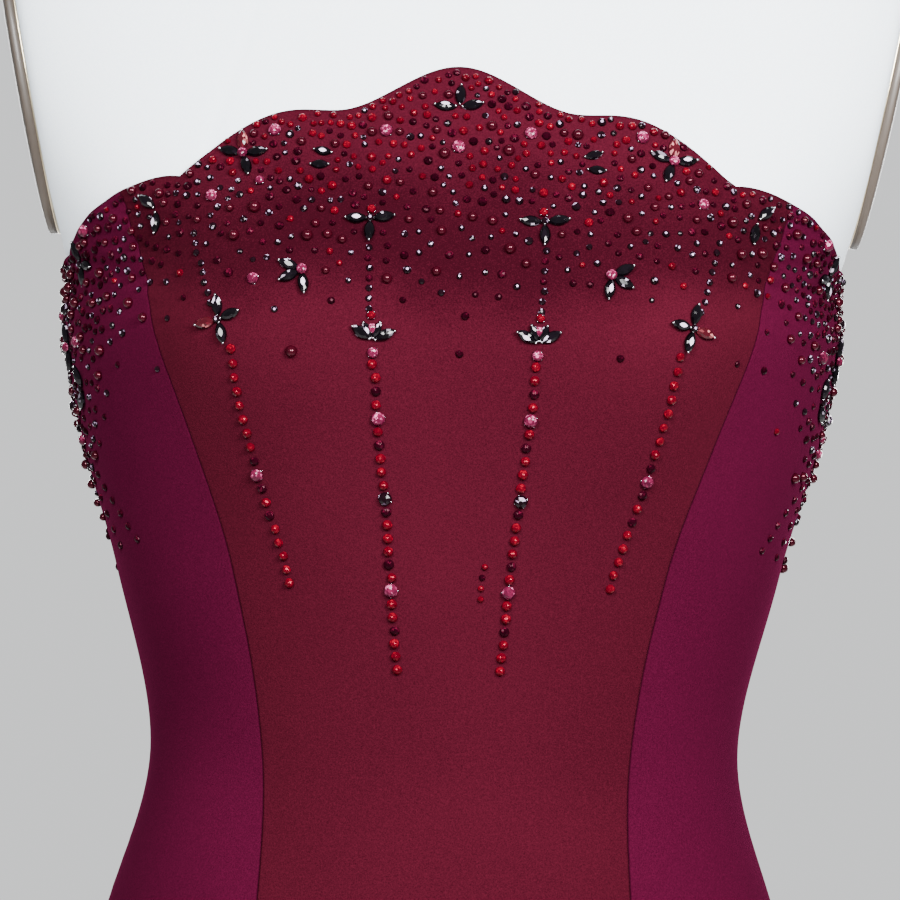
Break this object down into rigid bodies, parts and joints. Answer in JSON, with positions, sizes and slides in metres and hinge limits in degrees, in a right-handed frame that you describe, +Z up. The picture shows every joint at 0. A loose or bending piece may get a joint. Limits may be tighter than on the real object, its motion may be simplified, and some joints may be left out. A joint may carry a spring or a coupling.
{
  "type": "strapless gown on a dress form",
  "caption": "Floor-length strapless gown with princess seams, scalloped neckline, stone trim and back zip, worn by a limbless dress form on a round stand.",
  "frame": {"origin": "the middle of the round stand's underside, on the floor", "axes": "+Z up, +X to the wearer's left, and the gown's front faces -Y"},
  "size_m": [0.6772, 0.6373, 1.5883],
  "materials": {
    "gown_cloth": "matt crepe",
    "gown_side_cloth": "matt crepe with a faint sheen",
    "dark_crystal": "faceted, dark grey",
    "red_crystal": "faceted, red",
    "zip_tape": "dyed to the cloth",
    "zip_metal": "enamelled to the cloth's colour",
    "form_cover": "smooth white cover cloth",
    "plate_paint": "satin beige",
    "wood": "satin varnish",
    "stand_steel": "satin dark grey"
  },
  "bodies": {
    "gown_form_and_stand": {"front_centre_panel": "gown_cloth", "front_side_panel_left": "gown_side_cloth", "front_side_panel_right": "gown_side_cloth", "back_side_panel_left": "gown_side_cloth", "back_side_panel_right": "gown_side_cloth", "back_centre_panel_left": "gown_cloth", "back_centre_panel_right": "gown_cloth", "zip_chain": "zip_tape", "zip_slider": "zip_metal", "flower_trio": "dark_crystal", "flower_bloom_left": "dark_crystal", "flower_bloom_right": "dark_crystal", "flower_pair_left": "dark_crystal", "flower_pair_right": "dark_crystal", "flower_tee_left": "dark_crystal", "flower_tee_right": "dark_crystal", "flower_fan_left": "dark_crystal", "flower_fan_right": "dark_crystal", "flower_cross_left": "dark_crystal", "flower_cross_right": "dark_crystal", "flower_cup_left": "dark_crystal", "flower_cup_right": "dark_crystal", "stone_string_outer_left": "red_crystal", "stone_string_outer_right": "red_crystal", "stone_string_inner_left": "red_crystal", "stone_string_inner_right": "red_crystal", "form_torso": "form_cover", "form_base_board": "wood", "armhole_plate_left": "plate_paint", "armhole_plate_right": "plate_paint", "neck_cap": "wood", "stand_base": "stand_steel", "stand_hub": "stand_steel", "stand_pole": "stand_steel"},
    "pull_tab": {"zip_pull": "zip_metal"}
  },
  "joints": [
    {"name": "pull_swing", "type": "hinge", "parent": "gown_form_and_stand", "child": "pull_tab", "pos_m": [0, 0.11856, 1.2785], "axis": [1, 0, 0], "range_deg": [0, 150]}
  ]
}
